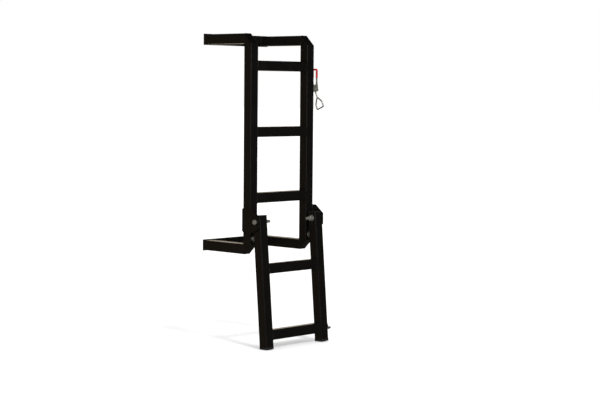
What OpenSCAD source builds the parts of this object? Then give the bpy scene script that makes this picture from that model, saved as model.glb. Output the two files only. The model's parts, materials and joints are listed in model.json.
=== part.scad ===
// Folding two-section access ladder in square steel tube. The upper section stands off the
// wall on two pairs of arms closed by flat rest bars. The lower section hangs on two pivot
// bolts, leans forward on a pair of stop bolts and folds up in front of the upper section,
// where a toggle latch on the right upright holds it by a hooked catch plate.
//
// Frame: millimetres, +Z up, +X to the climber's right, +Y towards the wall.
// Origin: centre of the rear face of the lower rest bar.

/* [Square tube] */
// Outside size of every square tube
tube = 40; // [30:1:50]
// Wall thickness of the tube
tube_wall = 2; // [1.5:0.5:4]
// Outside corner radius of the tube
tube_round = 2.5; // [2:0.5:4]

/* [Upper section] */
// Distance between the centre lines of the uprights
rail_pitch = 320; // [260:5:450]
// Height of the upper section over its arms
frame_height = 871; // [740:5:1400]
// Distance from the wall to the front faces of the uprights
stand_off = 273; // [160:1:400]
// Distance between the centres of two rungs
rung_pitch = 261; // [225:1:300]
// Number of rungs in the upper section
upper_rungs = 3; // [3:1:3]
// Distance from the top of the frame to the centre of the top rung
top_rung_drop = 126; // [70:1:140]

/* [Rest bars] */
// Height of the flat bar that closes each pair of arms
bar_height = 45; // [42:1:60]
// Thickness of the flat bar
bar_thick = 6; // [4:1:10]

/* [Hinge] */
// Thickness of the hinge plates
plate_thick = 6; // [4:0.5:10]
// Height of the hinge plates
plate_height = 95; // [85:1:130]
// Height of the plates' lower edge above the bottom of the frame
plate_rise = 89; // [84:1:110]
// Height of the pivot above the plates' lower edge
pivot_rise = 43; // [38:1:50]
// Distance from the uprights' front faces to the pivot axis
pivot_forward = 34; // [33:1:40]
// Diameter of the pivot bolts
pivot_d = 12; // [10:1:14]
// Radial running clearance of the pivot bolts in the leg sleeves
pivot_run = 0.05; // [0.02:0.01:0.1]
// Length of the pivot bolts under the head
pivot_bolt_length = 80; // [76:1:100]
// Thickness of the thrust washers between plates and legs
thrust_thick = 1; // [0.5:0.25:2]
// Side play of the legs against each washer
side_play = 0.25; // [0.2:0.05:0.5]
// Outside diameter of the sleeves welded through the legs
sleeve_d = 20; // [18:0.5:24]

/* [Lower section] */
// Forward lean of the lower section when it stands on its stops
leg_tilt = 4.8; // [0:0.1:6]
// Distance along the legs from the pivot to the end of the feet
leg_below = 502; // [480:1:560]
// Length of the legs above the pivot
leg_above = 26; // [24:0.5:27]
// Distance along the legs from the pivot to the first lower rung
lower_rung_drop = 186; // [150:1:200]
// Thickness of the rubber pad under each foot
foot_pad = 8; // [4:1:14]
// Thickness of the head of the caps in the legs' upper ends
cap_head = 3.5; // [2:0.5:4]

/* [Stop bolts] */
// Height of the stop bolts above the bottom of the frame
stop_rise = 62; // [52:1:68]
// Diameter of the stop bolts
stop_d = 12; // [8:1:12]

/* [Latch] */
// Height of the lever's pivot above the bottom of the frame
latch_rise = 652; // [630:1:670]
// Distance from the pivots back to the middle of the latch
latch_back = 55.5; // [52:0.5:56]
// Distance from the upright's side face to the lever's pivot
lever_off = 28; // [26:1:32]
// Length of the lever from its pivot to the end of the handle
lever_length = 84; // [65:1:110]
// Outside width of the lever
lever_width = 25; // [22:1:26]
// Thickness of the lever's strip
lever_strip = 3; // [2:0.5:4]
// Distance from the lever's pivot to the swivel barrel
crank = 12; // [11:0.5:14]
// Diameter of the draw link's wire
link_wire = 5.5; // [4:0.5:6]
// Sideways lean of the draw link towards the folded leg
link_lean = 23; // [20:1:30]
// Straight length of the draw link between its bend and its ring
link_shank = 40.5; // [36:0.5:50]
// Length of the ring, apex to middle of the cross wire
ring_length = 44.5; // [36:1:50]
// Width of the ring between the middles of its side wires
ring_width = 38; // [32:1:40]

/* [Hidden] */
$fn = 64;
eps = 0.01;
weld_gap = 0.05;

// Levels and planes of the upper section
half = tube / 2;
frame_bottom = -half;
frame_top = frame_bottom + frame_height;
front_y = -stand_off;
upright_y = front_y + half;
arm_front = front_y + tube;
arm_back = -bar_thick;
upright_x = rail_pitch / 2;
face_x = upright_x + half;
clear_width = rail_pitch - tube;
top_rung_z = frame_top - top_rung_drop;

// Pivot and lower section
pivot_y = front_y - pivot_forward;
plate_bottom = frame_bottom + plate_rise;
plate_top = plate_bottom + plate_height;
pivot_z = plate_bottom + pivot_rise;
leg_x = upright_x - thrust_thick - side_play;
leg_inner = leg_x - half;
leg_outer = leg_x + half;
leg_clear = 2 * leg_inner;
plate_front = pivot_y - half;

// Metric hexagon fasteners: width across flats, head and nut heights, washer sizes
function flats(d) = 1.5 * d;
function corners(d) = flats(d) / cos(30);
function head_height(d) = 0.625 * d;
washer_thick = 2.5;
washer_d = 2 * pivot_d;
lock_nut_height = 14;
thin_nut_height = 7;
hole_play = 0.25;

// The leg's back face at height z, and the end of the stop bolt's head against it
function leg_back(z) = pivot_y - (pivot_z - z) * tan(leg_tilt) + half / cos(leg_tilt);
stop_z = frame_bottom + stop_rise;
body_gap = 0.3;
stop_tip = leg_back(stop_z + corners(stop_d) / 2) + body_gap;
weld_nut_height = 10;

// Latch: sheet thickness, base, lever and barrel
sheet = 2;
latch_y = pivot_y + latch_back;
lever_x = face_x + lever_off;
lever_z = frame_bottom + latch_rise;
ear_play = 0.5;
ear_inner = lever_width / 2 + ear_play;
base_half = ear_inner + sheet;
base_below = 20;
base_above = 46;
ear_root_above = 24;
ear_root_below = 10;
lobe_r = 7;
arm_half = 3.5;
rivet_r = 3;
rivet_head_r = 5;
rivet_head = 2;
base_rivet_r = 2.4;
base_rivet_head_r = 4.8;
base_rivet_zs = [lever_z - 14, lever_z + 38];
barrel_r = 5.5;
barrel_z = lever_z + crank;
arm_inner = lever_width / 2 - lever_strip;
grip_length = 35.5;
grip_wall = 1.7;
arm_taper = lever_length - grip_length - 14.5;

// Draw link: in its own plane, u runs down the leaning shank
wire_r = link_wire / 2;
bend_swell = 0.12;
link_bend = 8;
link_top = 9;
shoulder_u = 0.55 * ring_length;
corner_r = 4;

// Catch plate, laid out for the folded leg so that the closed latch draws the ring against it
ring_play = 1.4;
hook_along = 4.5;
link_reach = link_bend + (link_shank + ring_length) * cos(link_lean) - hook_along * sin(link_lean);
bar_x = leg_outer + sheet + ring_play + wire_r;
link_swing = asin((lever_x - bar_x) / link_reach);
bar_height_z = barrel_z - link_reach * cos(link_swing);
bar_y = latch_y - (link_shank + ring_length) * sin(link_lean) - hook_along * cos(link_lean);
catch_down = bar_height_z - pivot_z;
catch_forward = bar_y - pivot_y;
catch_width = 13;
catch_length = 30;
hook_lip = 7;
hook_depth = link_wire + 2 * ring_play;
catch_rivet_us = [12, 24];

black = [0.07, 0.068, 0.064];
zinc = [0.72, 0.72, 0.70];
rubber = [0.05, 0.05, 0.05];
red = [0.72, 0.06, 0.08];

// ---------------------------------------------------------------- shared shapes

// Square with rounded corners, made of exact arcs
module rounded_square(size, r) {
    square([size, size - 2 * r], center = true);
    square([size - 2 * r, size], center = true);
    for (sx = [-1, 1], sy = [-1, 1])
        translate([sx, sy] * (size / 2 - r)) circle(r = r);
}

module tube_section() {
    difference() {
        rounded_square(tube, tube_round);
        rounded_square(tube - 2 * tube_wall, max(tube_round - tube_wall, 0.5));
    }
}

// Square tubes along Z, Y and X, each centred on its axis and starting at the origin
module tube_z(length) { linear_extrude(length) tube_section(); }
module tube_y(length) { rotate([-90, 0, 0]) tube_z(length); }
module tube_x(length) { rotate([0, 90, 0]) tube_z(length); }

// Outline drawn in Y and Z, extruded along X and centred on x = 0
module side_extrude(width) {
    rotate([90, 0, 90]) translate([0, 0, -width / 2]) linear_extrude(width) children();
}

// Outline drawn in X and Z, extruded along Y from y = 0 to y = depth
module front_extrude(depth) {
    translate([0, depth, 0]) rotate([90, 0, 0]) linear_extrude(depth) children();
}

module along_x() { rotate([0, 90, 0]) children(); }
module along_y() { rotate([-90, 0, 0]) children(); }

module hex_prism(d, height) { cylinder(d = corners(d), h = height, $fn = 6); }

module ring_washer(outer_d, inner_d, height) {
    difference() {
        cylinder(d = outer_d, h = height);
        translate([0, 0, -eps]) cylinder(d = inner_d, h = height + 2 * eps);
    }
}

// Both sides of the ladder
module both_sides() { for (side = [-1, 1]) scale_side(side) children(); }
module scale_side(side) { mirror([side < 0 ? 1 : 0, 0, 0]) children(); }

// Leg frame: origin on the pivot, the leg hangs down its -Z
module on_leg() { translate([0, pivot_y, pivot_z]) rotate([-leg_tilt, 0, 0]) children(); }

// ---------------------------------------------------------------- upper section

module upright(side) {
    x = side * upright_x;
    color(black) difference() {
        translate([x, upright_y, frame_bottom + tube]) tube_z(frame_height - 2 * tube);
        translate([x, front_y - eps, stop_z])
            along_y() cylinder(d = stop_d + 2 * hole_play, h = tube_wall + 2 * eps);
        if (side > 0)
            for (z = base_rivet_zs)
                translate([face_x - tube_wall - eps, latch_y, z])
                    along_x() cylinder(r = base_rivet_r + weld_gap, h = tube_wall + 2 * eps);
    }
}
module left_upright() { upright(-1); }
module right_upright() { upright(1); }

// Folded corner box: a diagonal plate with two triangular cheeks, open towards both tubes
module corner_box(side, up) {
    slant = tube_wall * sqrt(2);
    color(black)
        translate([side * upright_x, 0, frame_bottom + frame_height / 2])
            mirror([0, 0, up > 0 ? 0 : 1])
                translate([0, 0, frame_height / 2 - tube]) difference() {
                    side_extrude(tube)
                        polygon([[front_y, 0], [arm_front, 0], [arm_front, tube]]);
                    side_extrude(tube - 2 * tube_wall)
                        polygon([[front_y + slant + eps, -eps], [arm_front + eps, -eps],
                                 [arm_front + eps, tube - slant - eps]]);
                }
}
module top_left_corner() { corner_box(-1, 1); }
module top_right_corner() { corner_box(1, 1); }
module bottom_left_corner() { corner_box(-1, -1); }
module bottom_right_corner() { corner_box(1, -1); }

module arm(side, z) {
    color(black) translate([side * upright_x, arm_front, z]) tube_y(arm_back - arm_front);
}
module top_left_arm() { arm(-1, frame_top - half); }
module top_right_arm() { arm(1, frame_top - half); }
module bottom_left_arm() { arm(-1, 0); }
module bottom_right_arm() { arm(1, 0); }

module rest_bar(z) {
    color(black) translate([-face_x, arm_back, z - bar_height / 2])
        cube([2 * face_x, bar_thick, bar_height]);
}
module upper_rest_bar() { rest_bar(frame_top - half); }
module lower_rest_bar() { rest_bar(0); }

module upper_rung(index) {
    color(black)
        translate([-clear_width / 2, upright_y, top_rung_z - index * rung_pitch])
            tube_x(clear_width);
}
module top_rung() { upper_rung(0); }
module second_rung() { upper_rung(1); }
module third_rung() { upper_rung(upper_rungs - 1); }

// ---------------------------------------------------------------- hinge

// Side plate: back edge flush with the upright, front edge flush with the leg
module hinge_plate_outline() {
    back = arm_front;
    nip = 5;
    nose_top = [41, 33];
    nose_bottom = [31, 18];
    polygon([
        [back - nip, plate_bottom], [back, plate_bottom + nip],
        [back, plate_top - nip], [back - nip, plate_top],
        [plate_front + nose_top[0], plate_top], [plate_front, plate_top - nose_top[1]],
        [plate_front, plate_bottom + nose_bottom[1]], [plate_front + nose_bottom[0], plate_bottom]
    ]);
}

module hinge_plate() {
    color(black) difference() {
        translate([face_x + plate_thick / 2, 0, 0])
            side_extrude(plate_thick) hinge_plate_outline();
        translate([face_x - eps, pivot_y, pivot_z])
            along_x() cylinder(d = pivot_d + 2 * hole_play, h = plate_thick + 2 * eps);
    }
}
module left_hinge_plate() { scale_side(-1) hinge_plate(); }
module right_hinge_plate() { hinge_plate(); }

module pivot_bolt() {
    head = head_height(pivot_d);
    color(zinc) translate([face_x + plate_thick, pivot_y, pivot_z]) along_x() {
        hex_prism(pivot_d, head);
        translate([0, 0, -pivot_bolt_length]) cylinder(d = pivot_d, h = pivot_bolt_length + eps);
    }
}
module left_pivot_bolt() { scale_side(-1) pivot_bolt(); }
module right_pivot_bolt() { pivot_bolt(); }

module pivot_thrust_washers() {
    color(zinc) both_sides() translate([face_x - thrust_thick, pivot_y, pivot_z])
        along_x() ring_washer(sleeve_d + 10, pivot_d + 2 * hole_play, thrust_thick);
}

nut_washer_x = leg_inner - side_play - washer_thick;
module pivot_nut_washers() {
    color(zinc) both_sides() translate([nut_washer_x, pivot_y, pivot_z])
        along_x() ring_washer(washer_d, pivot_d + 2 * hole_play, washer_thick);
}

// Lock nuts: hexagon with a round collar, bored to the bolt
module pivot_lock_nuts() {
    collar = 3;
    color(zinc) both_sides()
        translate([nut_washer_x - lock_nut_height, pivot_y, pivot_z]) along_x() difference() {
            union() {
                translate([0, 0, collar]) hex_prism(pivot_d, lock_nut_height - collar);
                cylinder(d = flats(pivot_d) - 1, h = collar + eps);
            }
            translate([0, 0, -eps])
                cylinder(d = pivot_d + 2 * weld_gap, h = lock_nut_height + 2 * eps);
        }
}

// ---------------------------------------------------------------- stop bolts

module at_stops(y) { both_sides() translate([upright_x, y, stop_z]) along_y() children(); }

module stop_bolts() {
    head = head_height(stop_d);
    inside = tube_wall + weld_nut_height + 4;
    color(zinc) at_stops(stop_tip) {
        hex_prism(stop_d, head);
        cylinder(d = stop_d, h = front_y - stop_tip + inside);
    }
}

module stop_washers() {
    color(zinc) at_stops(front_y - washer_thick)
        ring_washer(2 * stop_d, stop_d + 2 * hole_play, washer_thick);
}

module stop_nuts(y, height) {
    color(zinc) at_stops(y) difference() {
        hex_prism(stop_d, height);
        translate([0, 0, -eps]) cylinder(d = stop_d + 2 * weld_gap, h = height + 2 * eps);
    }
}
module stop_lock_nuts() { stop_nuts(front_y - washer_thick - thin_nut_height, thin_nut_height); }
module stop_weld_nuts() { stop_nuts(front_y + tube_wall, weld_nut_height); }

// ---------------------------------------------------------------- latch base

// Point where a line from point p touches the circle round c, on the side given by turn
function tangent(p, c, r, turn) =
    let (d = c - p, dist = norm(d), a = atan2(d[1], d[0]), b = turn * asin(r / dist),
         run = sqrt(dist * dist - r * r))
    p + run * [cos(a + b), sin(a + b)];

module ear_outline() {
    lobe = [lever_off, 0];
    top = [sheet, ear_root_above];
    foot = [sheet, -ear_root_below];
    polygon([[0, -ear_root_below], [0, ear_root_above], top, tangent(top, lobe, lobe_r, 1),
             lobe, tangent(foot, lobe, lobe_r, -1), foot]);
    translate(lobe) circle(r = lobe_r);
}

module latch_base() {
    color(zinc) translate([face_x, latch_y, lever_z]) difference() {
        union() {
            translate([0, -base_half, -base_below])
                cube([sheet, 2 * base_half, base_below + base_above]);
            for (y = [-base_half, ear_inner])
                translate([0, y, 0]) front_extrude(sheet) ear_outline();
        }
        translate([lever_off, -base_half - eps, 0])
            along_y() cylinder(r = rivet_r + weld_gap, h = 2 * base_half + 2 * eps);
        for (z = base_rivet_zs)
            translate([-eps, 0, z - lever_z])
                along_x() cylinder(r = base_rivet_r + weld_gap, h = sheet + 2 * eps);
    }
}

// Domed head of a rivet, its flat side on z = 0
module rivet_dome(r, height) {
    sphere_r = (r * r + height * height) / (2 * height);
    intersection() {
        translate([0, 0, height - sphere_r]) sphere(r = sphere_r);
        cylinder(r = r + 1, h = height + 1);
    }
}

// Blind rivet: domed head outside, shank through the grip, bulb behind it
module blind_rivet(r, head_r, grip) {
    rivet_dome(head_r, 0.45 * head_r);
    translate([0, 0, -grip - 3]) cylinder(r = r, h = grip + 3 + eps);
    translate([0, 0, -grip - 3]) cylinder(r = r + 0.8, h = 3 - weld_gap);
}

module latch_base_rivets() {
    color(zinc) for (z = base_rivet_zs)
        translate([face_x + sheet, latch_y, z])
            along_x() blind_rivet(base_rivet_r, base_rivet_head_r, sheet + tube_wall);
}

// Two stub rivets, so the draw link can pass between the lever's arms
module lever_pivot_rivets() {
    stub = sheet + ear_play + lever_strip;
    color(zinc) for (turn = [0, 180])
        translate([lever_x, latch_y, lever_z]) rotate([0, 0, turn])
            translate([0, -base_half, 0]) along_y() {
                cylinder(r = rivet_r, h = stub);
                mirror([0, 0, 1]) rivet_dome(rivet_head_r, rivet_head);
            }
}

// ---------------------------------------------------------------- lever and draw link

module lever_arm_outline() {
    circle(r = lobe_r);
    translate([0, crank]) circle(r = lobe_r);
    polygon([[-lobe_r, 0], [lobe_r, 0], [lobe_r, crank], [arm_half, arm_taper],
             [arm_half, lever_length], [-arm_half, lever_length], [-arm_half, arm_taper],
             [-lobe_r, crank]]);
}

module latch_lever() {
    color(zinc) translate([lever_x, latch_y, lever_z]) difference() {
        union() {
            for (y = [-lever_width / 2, arm_inner])
                translate([0, y, 0]) front_extrude(lever_strip) lever_arm_outline();
            translate([-arm_half, -lever_width / 2, lever_length - lever_strip])
                cube([2 * arm_half, lever_width, lever_strip]);
        }
        for (z = [0, crank])
            translate([0, -lever_width / 2 - eps, z])
                along_y() cylinder(r = rivet_r + pivot_run, h = lever_width + 2 * eps);
    }
}

// Vinyl dipped over the end of the handle
module lever_grip() {
    outer = [2 * (arm_half + grip_wall), lever_width + 2 * grip_wall, grip_length + grip_wall];
    loop = lever_width - 2 * lever_strip - 2 * grip_wall;
    color(red) translate([lever_x, latch_y, lever_z + lever_length - grip_length]) difference() {
        translate([-outer[0] / 2, -outer[1] / 2, 0]) cube(outer);
        translate([-arm_half, -lever_width / 2, -eps])
            cube([2 * arm_half, lever_strip, grip_length + eps]);
        translate([-arm_half, arm_inner, -eps])
            cube([2 * arm_half, lever_strip, grip_length + eps]);
        translate([-arm_half, -lever_width / 2, grip_length - lever_strip])
            cube([2 * arm_half, lever_width, lever_strip]);
        translate([-outer[0] / 2 - eps, -loop / 2, -eps])
            cube([outer[0] + 2 * eps, loop, grip_length - lever_strip - grip_wall + eps]);
    }
}

module swivel_barrel() {
    journal = lever_width / 2 - weld_gap;
    color(zinc) translate([lever_x, latch_y, barrel_z]) difference() {
        union() {
            translate([0, -arm_inner + body_gap, 0])
                along_y() cylinder(r = barrel_r, h = 2 * (arm_inner - body_gap));
            translate([0, -journal, 0]) along_y() cylinder(r = rivet_r, h = 2 * journal);
        }
        translate([0, 0, -barrel_r - 1]) cylinder(r = wire_r + weld_gap, h = 2 * barrel_r + 2);
    }
}

// Wire through a list of points in the plane x = 0, its bends a touch fuller than the wire
module wire(points) {
    for (i = [0 : len(points) - 2]) {
        d = points[i + 1] - points[i];
        translate([0, points[i][0], points[i][1]]) rotate([-atan2(d[0], d[1]), 0, 0])
            cylinder(r = wire_r, h = norm(d));
    }
    for (p = points)
        translate([0, p[0], p[1]]) sphere(r = wire_r + bend_swell);
}

// Bent rod with a stirrup ring, drawn in Y and Z with the swivel at the origin
module draw_link_shape() {
    turn = [-sin(link_lean), -cos(link_lean)];
    side = [-cos(link_lean), sin(link_lean)];
    bend = [0, -link_bend];
    apex = bend + link_shank * turn;
    reach = ring_width / 2;
    foot = apex + ring_length * turn;
    half_ring = [[shoulder_u, 0.92 * reach], [ring_length - corner_r, reach],
                 [ring_length, reach - corner_r]];
    wire([[0, link_top], bend, apex]);
    for (s = [-1, 1])
        wire([apex, for (q = half_ring) apex + q[0] * turn + s * q[1] * side, foot]);
}

module draw_link() {
    color(zinc) translate([lever_x, latch_y, barrel_z]) draw_link_shape($fn = 20);
}

// ---------------------------------------------------------------- lower section

module on_catch() {
    on_leg() translate([leg_outer, -catch_forward, -catch_down]) rotate([-link_lean, 0, 0])
        children();
}

module leg(side) {
    color(black) scale_side(side) difference() {
        on_leg() translate([leg_x, 0, foot_pad - leg_below])
            tube_z(leg_below - foot_pad + leg_above - cap_head);
        on_leg() translate([leg_inner - eps, 0, 0])
            along_x() cylinder(d = sleeve_d + 2 * weld_gap, h = tube + 2 * eps);
        if (side > 0)
            on_catch() for (u = catch_rivet_us)
                translate([-tube_wall - eps, 0, u])
                    along_x() cylinder(r = base_rivet_r + weld_gap, h = tube_wall + 2 * eps);
    }
}
module left_leg() { leg(-1); }
module right_leg() { leg(1); }

module pivot_sleeve() {
    color(zinc) on_leg() translate([leg_inner, 0, 0]) along_x()
        ring_washer(sleeve_d, pivot_d + 2 * pivot_run, tube);
}
module left_pivot_sleeve() { scale_side(-1) pivot_sleeve(); }
module right_pivot_sleeve() { pivot_sleeve(); }

plug_play = 0.1;
module plug_section() {
    rounded_square(tube - 2 * tube_wall - 2 * plug_play, 1);
}

module leg_cap() {
    plug_length = leg_above - cap_head - sleeve_d / 2 - 1;
    color(rubber) on_leg() translate([leg_x, 0, leg_above - cap_head]) {
        linear_extrude(cap_head) rounded_square(tube, tube_round);
        translate([0, 0, -plug_length]) linear_extrude(plug_length + eps) plug_section();
    }
}
module left_leg_cap() { scale_side(-1) leg_cap(); }
module right_leg_cap() { leg_cap(); }

// Rubber foot: a pad as large as the tube and a plug up the leg
module foot() {
    plug_length = 22;
    color(rubber) on_leg() translate([leg_x, 0, -leg_below]) {
        linear_extrude(foot_pad) rounded_square(tube, tube_round);
        linear_extrude(foot_pad + plug_length) plug_section();
    }
}
module left_foot() { scale_side(-1) foot(); }
module right_foot() { foot(); }

module lower_rung(drop) {
    color(black) on_leg() translate([-leg_inner, 0, -drop]) tube_x(leg_clear);
}
module fourth_rung() { lower_rung(lower_rung_drop); }
module bottom_rung() { lower_rung(lower_rung_drop + rung_pitch); }

// Hooked catch plate: lies on the leg, turns out into a shelf and back into a lip
module catch_plate() {
    shelf = -wire_r;
    lip_top = shelf + hook_lip;
    color(zinc) on_catch() difference() {
        translate([0, -catch_width / 2, shelf - sheet]) union() {
            cube([sheet, catch_width, catch_length + sheet]);
            cube([sheet + hook_depth + sheet, catch_width, sheet]);
            translate([sheet + hook_depth, 0, 0])
                cube([sheet, catch_width, lip_top - shelf + sheet]);
        }
        for (u = catch_rivet_us)
            translate([-eps, 0, u])
                along_x() cylinder(r = base_rivet_r + weld_gap, h = sheet + 2 * eps);
    }
}

module catch_rivets() {
    color(zinc) on_catch() for (u = catch_rivet_us)
        translate([sheet, 0, u])
            along_x() blind_rivet(base_rivet_r, base_rivet_head_r, sheet + tube_wall);
}

// ---------------------------------------------------------------- nodes

left_upright();
right_upright();
top_left_corner();
top_right_corner();
bottom_left_corner();
bottom_right_corner();
top_left_arm();
top_right_arm();
bottom_left_arm();
bottom_right_arm();
upper_rest_bar();
lower_rest_bar();
top_rung();
second_rung();
third_rung();
left_hinge_plate();
right_hinge_plate();
left_pivot_bolt();
right_pivot_bolt();
pivot_thrust_washers();
pivot_nut_washers();
pivot_lock_nuts();
stop_bolts();
stop_washers();
stop_lock_nuts();
stop_weld_nuts();
latch_base();
latch_base_rivets();
lever_pivot_rivets();
left_leg();
right_leg();
left_pivot_sleeve();
right_pivot_sleeve();
left_leg_cap();
right_leg_cap();
fourth_rung();
bottom_rung();
left_foot();
right_foot();
catch_plate();
catch_rivets();
latch_lever();
lever_grip();
swivel_barrel();
draw_link();
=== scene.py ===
"""Visual model of a folding access ladder in square steel tube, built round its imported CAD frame.

The sub-assemblies model their pieces in millimetres, in the frame of the CAD model: +Z up, +X to
the climber's right, +Y towards the wall, origin at the middle of the lower rest bar's rear face.
"""

import json
import logging
import math
from collections.abc import Callable, Iterable, Sequence
from dataclasses import dataclass, field
from enum import Enum
from typing import Any

import bmesh
import bpy
from mathutils import Matrix, Vector


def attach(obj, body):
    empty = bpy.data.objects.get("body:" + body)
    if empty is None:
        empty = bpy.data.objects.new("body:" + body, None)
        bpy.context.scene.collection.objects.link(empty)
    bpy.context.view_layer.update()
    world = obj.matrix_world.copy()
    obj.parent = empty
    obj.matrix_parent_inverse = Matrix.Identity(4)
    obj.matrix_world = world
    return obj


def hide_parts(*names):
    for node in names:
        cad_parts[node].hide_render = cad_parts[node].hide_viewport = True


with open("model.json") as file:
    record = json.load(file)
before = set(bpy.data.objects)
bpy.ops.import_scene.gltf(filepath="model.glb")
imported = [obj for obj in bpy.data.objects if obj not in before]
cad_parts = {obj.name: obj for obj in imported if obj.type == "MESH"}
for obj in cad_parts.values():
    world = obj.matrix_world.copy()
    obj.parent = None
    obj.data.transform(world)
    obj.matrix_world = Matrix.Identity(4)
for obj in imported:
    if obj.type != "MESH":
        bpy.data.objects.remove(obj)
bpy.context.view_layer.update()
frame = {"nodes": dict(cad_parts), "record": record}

logging.basicConfig(level=logging.INFO, format="%(message)s")
log = logging.getLogger("ladder")

MM = 0.001
# How far a hexagon's chamfer cuts in past its flats, in millimetres
HEX_CHAMFER = 0.25
Point2 = tuple[float, float]
Point3 = tuple[float, float, float]
Shell = bmesh.types.BMesh
Placed = tuple[Shell, Matrix]

HERE = Matrix.Identity(4)
# Angle in degrees up to which a bead's skin is shaded smooth
WELD_CREASE = 60
# Turns that lay a shape made along +Z on another axis
ALONG_X = Matrix.Rotation(math.radians(90), 4, "Y")
ALONG_Y = Matrix.Rotation(math.radians(-90), 4, "X")
# Turns a shape made along +Z upside down
OVER = Matrix.Rotation(math.pi, 4, "X")
# Lays a shape drawn in X and Y, and extruded along Z, with its drawing in Y and Z
SIDE_ON = Matrix(((0, 0, 1, 0), (1, 0, 0, 0), (0, 1, 0, 0), (0, 0, 0, 1)))
# The same, with its drawing in X and Z and its thickness along Y
FACE_ON = Matrix(((1, 0, 0, 0), (0, 0, 1, 0), (0, 1, 0, 0), (0, 0, 0, 1)))


class Body(Enum):
    """The CAD model's rigid bodies."""

    UPPER = "upper_frame"
    LOWER = "lower_section"
    LEVER = "latch_lever"
    LINK = "draw_link"


class Slot(Enum):
    """The record's material slots."""

    POWDER = "powder_coat"
    ZINC = "zinc"
    RUBBER = "rubber"
    VINYL = "vinyl"


class Side(Enum):
    """The ladder's two sides, as the sign of X."""

    LEFT = -1
    RIGHT = 1

    def __str__(self) -> str:
        """Returns the side's name as the CAD nodes spell it."""
        return self.name.lower()


# -------- finishes


def linear(hex_colour: str) -> tuple[float, float, float, float]:
    """Turns an sRGB hex colour into linear RGBA.

    Args:
        hex_colour: Six hex digits, such as "1A1917".

    Returns:
        Red, green, blue and an alpha of 1.
    """
    parts = [int(hex_colour[i : i + 2], 16) / 255 for i in (0, 2, 4)]
    red, green, blue = (
        c / 12.92 if c <= 0.04045 else ((c + 0.055) / 1.055) ** 2.4 for c in parts
    )
    return red, green, blue, 1.0


def add_node(
    tree: bpy.types.NodeTree, kind: str, settings: dict[str, Any] | None = None,
    links: dict[str | int, bpy.types.NodeSocket] | None = None,
) -> bpy.types.Node:
    """Adds a node, sets its attributes or inputs, and links sockets to its inputs.

    Args:
        tree: Node tree that takes the node.
        kind: Node type, without the common prefix.
        settings: Attribute or input names with their values.
        links: Input names, or places where a name is used twice, with the sockets that feed them.

    Returns:
        The new node.
    """
    node = tree.nodes.new("ShaderNode" + kind)
    for name, value in (settings or {}).items():
        if name in node.inputs.keys():
            node.inputs[name].default_value = value
        else:
            setattr(node, name, value)
    for name, socket in (links or {}).items():
        tree.links.new(socket, node.inputs[name])
    return node


@dataclass(frozen=True)
class Finish:
    """A surface finish whose colour, roughness and relief come from noise of real sizes."""

    name: str
    slot: Slot
    light_hex: str
    dark_hex: str
    patch_mm: float
    roughness: float
    roughness_spread: float
    grain_mm: float
    relief_mm: float
    metallic: float = 0.0
    ior: float | None = None
    specular: float = 0.5

    def material(self) -> bpy.types.Material:
        """Builds the finish's material once, and returns it."""
        known = bpy.data.materials.get(self.name)
        if known:
            return known
        made = bpy.data.materials.new(self.name)
        made.use_nodes = True
        tree = made.node_tree
        shader = tree.nodes["Principled BSDF"]
        shader.inputs["Metallic"].default_value = self.metallic
        shader.inputs["Specular IOR Level"].default_value = self.specular
        if self.ior is not None:
            shader.inputs["IOR"].default_value = self.ior
        place = add_node(tree, "TexCoord").outputs["Object"]
        patches, grain = (
            add_node(
                tree, "TexNoise", {"Scale": 1 / (size * MM), "Detail": detail, "Roughness": rough},
                {"Vector": place},
            ).outputs["Fac"]
            for size, detail, rough in ((self.patch_mm, 4.0, 0.6), (self.grain_mm, 2.0, 0.5))
        )
        colour = add_node(tree, "ValToRGB", links={"Fac": patches})
        stops = zip(colour.color_ramp.elements, (0.32, 0.68), (self.dark_hex, self.light_hex))
        for stop, position, hex_colour in stops:
            stop.position = position
            stop.color = linear(hex_colour)
        low, high = (self.roughness + sign * self.roughness_spread for sign in (-1, 1))
        span = {"From Min": 0.3, "From Max": 0.7, "To Min": low, "To Max": high}
        sheen = add_node(tree, "MapRange", span, {"Value": patches}).outputs["Result"]
        depth = {"Strength": 1.0, "Distance": self.relief_mm * MM}
        relief = add_node(tree, "Bump", depth, {"Height": grain}).outputs["Normal"]
        tree.links.new(colour.outputs["Color"], shader.inputs["Base Color"])
        tree.links.new(sheen, shader.inputs["Roughness"])
        tree.links.new(relief, shader.inputs["Normal"])
        return made


# Satin polyester powder coat, sprayed and baked on steel: near-black with a warm cast and a
# fine orange peel of about 2.5 mm, drawn at its real depth of some hundredths of a millimetre.
POWDER_COAT = Finish(
    "satin_black_powder_coat", Slot.POWDER, "090807", "060504",
    patch_mm=70, roughness=0.34, roughness_spread=0.05, grain_mm=2.5, relief_mm=0.03,
    ior=1.5, specular=0.4,
)
# Bright zinc plate with a clear passivate: pale grey metal, a little cloudy from handling.
ZINC_PLATE = Finish(
    "clear_zinc_plate", Slot.ZINC, "B4B5AD", "8F9088",
    patch_mm=5, roughness=0.38, roughness_spread=0.07, grain_mm=0.8, relief_mm=0.01,
    metallic=0.82,
)
# Dipped vinyl plastisol: a thick soft skin with a low gloss and slow waves from the dip.
DIPPED_VINYL = Finish(
    "red_dipped_vinyl", Slot.VINYL, "B00008", "960006",
    patch_mm=9, roughness=0.33, roughness_spread=0.05, grain_mm=5, relief_mm=0.12, ior=1.53,
)
# Moulded black rubber: matt, with the fine grain of a spark-eroded mould.
MOULDED_RUBBER = Finish(
    "moulded_black_rubber", Slot.RUBBER, "161615", "0E0E0E",
    patch_mm=12, roughness=0.68, roughness_spread=0.08, grain_mm=0.7, relief_mm=0.03, ior=1.52,
)
FINISH_OF_SLOT = {f.slot: f for f in (POWDER_COAT, ZINC_PLATE, DIPPED_VINYL, MOULDED_RUBBER)}


# -------- shaping


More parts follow.
